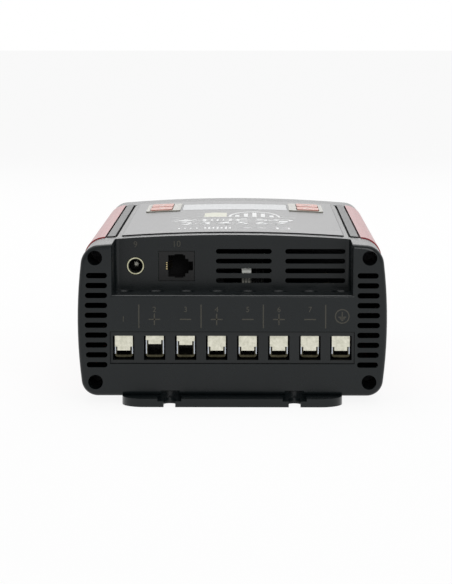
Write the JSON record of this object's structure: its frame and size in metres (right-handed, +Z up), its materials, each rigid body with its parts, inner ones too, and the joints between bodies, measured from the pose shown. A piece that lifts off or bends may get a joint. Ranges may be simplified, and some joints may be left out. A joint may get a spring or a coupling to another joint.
{
  "type": "charge controller",
  "caption": "Charge controller in a metal case with moulded end caps: screw terminals, data and sensor sockets, display, keys, fan and slotted feet.",
  "frame": {"origin": "centre of the bounding box at floor level", "axes": "+X right seen from the terminal end, +Y away from the terminal end along the case, +Z up"},
  "size_m": [0.1518, 0.284, 0.081],
  "materials": {
    "cap_plastic": "moulded, fine texture",
    "block_plastic": "moulded, smooth",
    "red_panel": "satin red finish on extruded aluminium",
    "black_panel": "satin black finish on extruded aluminium",
    "bottom_metal": "plain sheet",
    "label": "printed film",
    "window": "clear acrylic",
    "key_surround": "pale film",
    "key": "smooth",
    "screw_steel": "zinc plated",
    "black_screw": "black oxide",
    "cage_metal": "nickel plated strip",
    "plate_metal": "nickel plated, slightly warm",
    "board": "glass fibre board with solder mask",
    "jack_plastic": "moulded",
    "ring_metal": "nickel plated",
    "gold_contact": "gold plated",
    "white_plastic": "moulded",
    "screen": "display glass",
    "module_plastic": "moulded frame",
    "ribbon": "flat cable",
    "ferrite": "coated core",
    "winding": "enamelled copper wire",
    "capacitor_sleeve": "shrink sleeve on a can",
    "heat_sink": "extruded, black anodised",
    "transistor": "moulded package",
    "fan_plastic": "moulded",
    "standoff": "turned"
  },
  "bodies": {
    "case": {"front_cap": "cap_plastic", "rear_cap": "cap_plastic", "front_cap_screws": "black_screw", "rear_cap_screws": "black_screw", "side_panel_left": "red_panel", "side_panel_right": "red_panel", "bottom_panel": "bottom_metal", "top_panel": "black_panel", "label_sheet": "label", "display_window": "window", "key_surround_left": "key_surround", "key_surround_right": "key_surround", "display_board": "board", "display_posts": "standoff", "display_screws": "screw_steel", "display_module": "module_plastic", "display_screen": "screen", "key_switches": "module_plastic", "display_ribbon": "ribbon", "main_board": "board", "standoffs": "standoff", "board_screws": "screw_steel", "terminal_block": "block_plastic", "wire_cages": "cage_metal", "jack_board": "board", "sensor_jack_body": "jack_plastic", "sensor_jack_ring": "ring_metal", "sensor_jack_pin": "ring_metal", "data_jack_body": "jack_plastic", "data_jack_contacts": "gold_contact", "control_board": "board", "signal_header": "white_plastic", "choke_cores": "ferrite", "choke_windings": "winding", "capacitors": "capacitor_sleeve", "heat_sink": "heat_sink", "transistors": "transistor", "fan_housing": "fan_plastic", "fan_screws": "screw_steel"},
    "clamp_1": {"pressure_plate_1": "plate_metal"},
    "screw_1": {"terminal_screw_1": "screw_steel"},
    "clamp_2": {"pressure_plate_2": "plate_metal"},
    "screw_2": {"terminal_screw_2": "screw_steel"},
    "clamp_3": {"pressure_plate_3": "plate_metal"},
    "screw_3": {"terminal_screw_3": "screw_steel"},
    "clamp_4": {"pressure_plate_4": "plate_metal"},
    "screw_4": {"terminal_screw_4": "screw_steel"},
    "clamp_5": {"pressure_plate_5": "plate_metal"},
    "screw_5": {"terminal_screw_5": "screw_steel"},
    "clamp_6": {"pressure_plate_6": "plate_metal"},
    "screw_6": {"terminal_screw_6": "screw_steel"},
    "clamp_7": {"pressure_plate_7": "plate_metal"},
    "screw_7": {"terminal_screw_7": "screw_steel"},
    "clamp_8": {"pressure_plate_8": "plate_metal"},
    "screw_8": {"terminal_screw_8": "screw_steel"},
    "key_left_near_body": {"key_left_near": "key"},
    "key_left_far_body": {"key_left_far": "key"},
    "key_right_near_body": {"key_right_near": "key"},
    "key_right_far_body": {"key_right_far": "key"},
    "fan_rotor_body": {"fan_rotor": "fan_plastic"}
  },
  "joints": [
    {"name": "screw_1_turn", "type": "hinge", "parent": "clamp_1", "child": "screw_1", "pos_m": [-0.05302, -0.1125, 0.04], "axis": [0, 0, 1], "range_deg": [-856.8, 2926.8]},
    {"name": "clamp_1_lift", "type": "slide", "parent": "case", "child": "clamp_1", "axis": [0, 0, 1], "range_m": [-0.0019, 0.0065]},
    {"name": "screw_2_turn", "type": "hinge", "parent": "clamp_2", "child": "screw_2", "pos_m": [-0.03787, -0.1125, 0.04], "axis": [0, 0, 1], "range_deg": [-2296.8, 1486.8]},
    {"name": "clamp_2_lift", "type": "slide", "parent": "case", "child": "clamp_2", "axis": [0, 0, 1], "range_m": [-0.0051, 0.0033]},
    {"name": "screw_3_turn", "type": "hinge", "parent": "clamp_3", "child": "screw_3", "pos_m": [-0.02273, -0.1125, 0.04], "axis": [0, 0, 1], "range_deg": [-2094.3, 1689.3]},
    {"name": "clamp_3_lift", "type": "slide", "parent": "case", "child": "clamp_3", "axis": [0, 0, 1], "range_m": [-0.00465, 0.00375]},
    {"name": "screw_4_turn", "type": "hinge", "parent": "clamp_4", "child": "screw_4", "pos_m": [-0.00758, -0.1125, 0.04], "axis": [0, 0, 1], "range_deg": [-856.8, 2926.8]},
    {"name": "clamp_4_lift", "type": "slide", "parent": "case", "child": "clamp_4", "axis": [0, 0, 1], "range_m": [-0.0019, 0.0065]},
    {"name": "screw_5_turn", "type": "hinge", "parent": "clamp_5", "child": "screw_5", "pos_m": [0.00758, -0.1125, 0.04], "axis": [0, 0, 1], "range_deg": [-856.8, 2926.8]},
    {"name": "clamp_5_lift", "type": "slide", "parent": "case", "child": "clamp_5", "axis": [0, 0, 1], "range_m": [-0.0019, 0.0065]},
    {"name": "screw_6_turn", "type": "hinge", "parent": "clamp_6", "child": "screw_6", "pos_m": [0.02273, -0.1125, 0.04], "axis": [0, 0, 1], "range_deg": [-856.8, 2926.8]},
    {"name": "clamp_6_lift", "type": "slide", "parent": "case", "child": "clamp_6", "axis": [0, 0, 1], "range_m": [-0.0019, 0.0065]},
    {"name": "screw_7_turn", "type": "hinge", "parent": "clamp_7", "child": "screw_7", "pos_m": [0.03787, -0.1125, 0.04], "axis": [0, 0, 1], "range_deg": [-856.8, 2926.8]},
    {"name": "clamp_7_lift", "type": "slide", "parent": "case", "child": "clamp_7", "axis": [0, 0, 1], "range_m": [-0.0019, 0.0065]},
    {"name": "screw_8_turn", "type": "hinge", "parent": "clamp_8", "child": "screw_8", "pos_m": [0.05302, -0.1125, 0.04], "axis": [0, 0, 1], "range_deg": [-856.8, 2926.8]},
    {"name": "clamp_8_lift", "type": "slide", "parent": "case", "child": "clamp_8", "axis": [0, 0, 1], "range_m": [-0.0019, 0.0065]},
    {"name": "key_left_near_press", "type": "slide", "parent": "case", "child": "key_left_near_body", "axis": [0, 0, -1], "range_m": [0, 0.0005], "stiffness_N_per_m": 600},
    {"name": "key_left_far_press", "type": "slide", "parent": "case", "child": "key_left_far_body", "axis": [0, 0, -1], "range_m": [0, 0.0005], "stiffness_N_per_m": 600},
    {"name": "key_right_near_press", "type": "slide", "parent": "case", "child": "key_right_near_body", "axis": [0, 0, -1], "range_m": [0, 0.0005], "stiffness_N_per_m": 600},
    {"name": "key_right_far_press", "type": "slide", "parent": "case", "child": "key_right_far_body", "axis": [0, 0, -1], "range_m": [0, 0.0005], "stiffness_N_per_m": 600},
    {"name": "fan_spin", "type": "hinge", "parent": "case", "child": "fan_rotor_body", "pos_m": [0, 0.1173, 0.0418], "axis": [0, 1, 0], "continuous": true}
  ],
  "couplings": [
    {"joint": "screw_1_turn", "follows": "clamp_1_lift", "rad_per_m": 7854},
    {"joint": "screw_2_turn", "follows": "clamp_2_lift", "rad_per_m": 7854},
    {"joint": "screw_3_turn", "follows": "clamp_3_lift", "rad_per_m": 7854},
    {"joint": "screw_4_turn", "follows": "clamp_4_lift", "rad_per_m": 7854},
    {"joint": "screw_5_turn", "follows": "clamp_5_lift", "rad_per_m": 7854},
    {"joint": "screw_6_turn", "follows": "clamp_6_lift", "rad_per_m": 7854},
    {"joint": "screw_7_turn", "follows": "clamp_7_lift", "rad_per_m": 7854},
    {"joint": "screw_8_turn", "follows": "clamp_8_lift", "rad_per_m": 7854}
  ]
}
